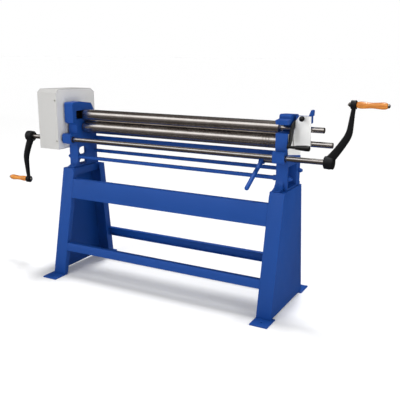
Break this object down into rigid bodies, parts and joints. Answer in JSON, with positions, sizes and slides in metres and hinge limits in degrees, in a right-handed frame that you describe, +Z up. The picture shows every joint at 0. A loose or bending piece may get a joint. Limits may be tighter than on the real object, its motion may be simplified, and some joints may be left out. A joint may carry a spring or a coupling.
{
  "type": "plate rolling machine",
  "caption": "Hand-driven plate rolling machine: rolls between cast heads on a folded sheet stand, with a crank at each end and a gear cover.",
  "frame": {"origin": "on the floor, under the middle of the whole machine", "axes": "+X along the rolls to the right end, +Y to the back, +Z up"},
  "size_m": [1.982, 0.515, 0.9251],
  "materials": {
    "blue_paint": "semi-gloss enamel",
    "grey_paint": "satin powder coat",
    "white_paint": "satin powder coat",
    "ground_steel": "ground",
    "turned_steel": "turned",
    "dark_steel": "oiled",
    "black_paint": "satin",
    "black_plastic": "gloss",
    "bronze": "machined",
    "wood": "varnished"
  },
  "bodies": {
    "stand": {"left_leg": "blue_paint", "right_leg": "blue_paint", "left_head_bolt_front": "dark_steel", "right_head_bolt_front": "dark_steel", "left_head_bolt_rear": "dark_steel", "right_head_bolt_rear": "dark_steel", "front_left_foot_plate": "blue_paint", "front_right_foot_plate": "blue_paint", "rear_left_foot_plate": "blue_paint", "rear_right_foot_plate": "blue_paint", "front_upper_beam": "blue_paint", "front_lower_bar": "blue_paint", "rear_bar": "blue_paint", "left_head": "blue_paint", "right_head": "blue_paint", "left_lower_roll_bush": "bronze", "right_lower_roll_bush": "bronze", "left_drive_shaft_bush": "bronze", "right_drive_shaft_bush": "bronze", "front_tie_rod": "blue_paint", "rear_tie_rod": "blue_paint", "rear_tie_beam": "blue_paint", "front_rod_left_cap_nut": "blue_paint", "front_rod_right_cap_nut": "blue_paint", "rear_rod_left_cap_nut": "blue_paint", "rear_rod_right_cap_nut": "blue_paint", "gear_cover": "grey_paint", "gear_cover_back_plate": "grey_paint", "right_side_guard": "white_paint"},
    "drive": {"drive_shaft": "turned_steel", "drive_pinion": "dark_steel", "left_crank_arm": "black_paint", "right_crank_arm": "black_paint", "left_grip_bolt": "turned_steel", "right_grip_bolt": "turned_steel"},
    "left_grip": {"left_crank_grip": "wood"},
    "right_grip": {"right_crank_grip": "wood"},
    "lower_roll": {"lower_roll": "ground_steel", "lower_nip_gear": "dark_steel", "lower_roll_drive_gear": "dark_steel"},
    "upper_carriage": {"upper_roll_sliding_block": "dark_steel", "upper_bearing_carrier": "blue_paint", "front_guard": "white_paint", "latch_pivot_pin": "turned_steel"},
    "upper_roll": {"upper_roll": "ground_steel", "upper_nip_gear": "dark_steel"},
    "latch": {"latch_lever": "black_paint", "latch_grip": "black_plastic"},
    "knob": {"ball_knob_plunger": "black_plastic"},
    "bending_carriage": {"left_bending_block": "dark_steel", "right_bending_block": "dark_steel"},
    "bending_roll": {"bending_roll": "ground_steel"},
    "left_screw": {"left_adjusting_screw": "dark_steel"},
    "right_screw": {"right_adjusting_screw": "dark_steel"},
    "hand_lever": {"cross_shaft": "dark_steel", "hand_lever": "blue_paint"}
  },
  "joints": [
    {"name": "lower_roll_spin", "type": "hinge", "parent": "stand", "child": "lower_roll", "pos_m": [0, 0.03445, 0.7295], "axis": [1, 0, 0], "continuous": true},
    {"name": "crank_spin", "type": "hinge", "parent": "stand", "child": "drive", "pos_m": [0, -0.05655, 0.67514], "axis": [1, 0, 0], "continuous": true},
    {"name": "left_grip_spin", "type": "hinge", "parent": "drive", "child": "left_grip", "pos_m": [-0.911, -0.05655, 0.44214], "axis": [1, 0, 0], "continuous": true},
    {"name": "right_grip_spin", "type": "hinge", "parent": "drive", "child": "right_grip", "pos_m": [0.911, -0.05655, 0.90814], "axis": [1, 0, 0], "continuous": true},
    {"name": "upper_roll_swing", "type": "hinge", "parent": "stand", "child": "upper_carriage", "pos_m": [-0.608, 0.03445, 0.7895], "axis": [0, 0, 1], "range_deg": [-5.5, 0]},
    {"name": "upper_roll_spin", "type": "hinge", "parent": "upper_carriage", "child": "upper_roll", "pos_m": [0, 0.03445, 0.7895], "axis": [1, 0, 0], "continuous": true},
    {"name": "latch_turn", "type": "hinge", "parent": "upper_carriage", "child": "latch", "pos_m": [0.594, 0.03645, 0.818], "axis": [1, 0, 0], "range_deg": [-95, 0]},
    {"name": "knob_pull", "type": "slide", "parent": "upper_carriage", "child": "knob", "axis": [0, -1, 0], "range_m": [0, 0.012], "stiffness_N_per_m": 300, "springref_m": -0.004},
    {"name": "bending_roll_raise", "type": "slide", "parent": "stand", "child": "bending_carriage", "axis": [0, -0.1736, 0.9848], "range_m": [0, 0.036]},
    {"name": "bending_roll_spin", "type": "hinge", "parent": "bending_carriage", "child": "bending_roll", "pos_m": [0, 0.10045, 0.722], "axis": [1, 0, 0], "continuous": true},
    {"name": "left_screw_turn", "type": "hinge", "parent": "bending_carriage", "child": "left_screw", "pos_m": [-0.561, 0.10045, 0.722], "axis": [0, -0.1736, 0.9848], "range_deg": [0, 4320]},
    {"name": "right_screw_turn", "type": "hinge", "parent": "bending_carriage", "child": "right_screw", "pos_m": [0.561, 0.10045, 0.722], "axis": [0, -0.1736, 0.9848], "range_deg": [0, 4320]},
    {"name": "hand_lever_turn", "type": "hinge", "parent": "stand", "child": "hand_lever", "pos_m": [0.458, 0.00145, 0.65], "axis": [1, 0, 0], "range_deg": [-30, 22]}
  ],
  "couplings": [
    {"joint": "crank_spin", "follows": "lower_roll_spin", "ratio": -2.5333},
    {"joint": "upper_roll_spin", "follows": "lower_roll_spin", "ratio": -1},
    {"joint": "left_screw_turn", "follows": "bending_roll_raise", "rad_per_m": 2094.4},
    {"joint": "right_screw_turn", "follows": "bending_roll_raise", "rad_per_m": 2094.4}
  ]
}
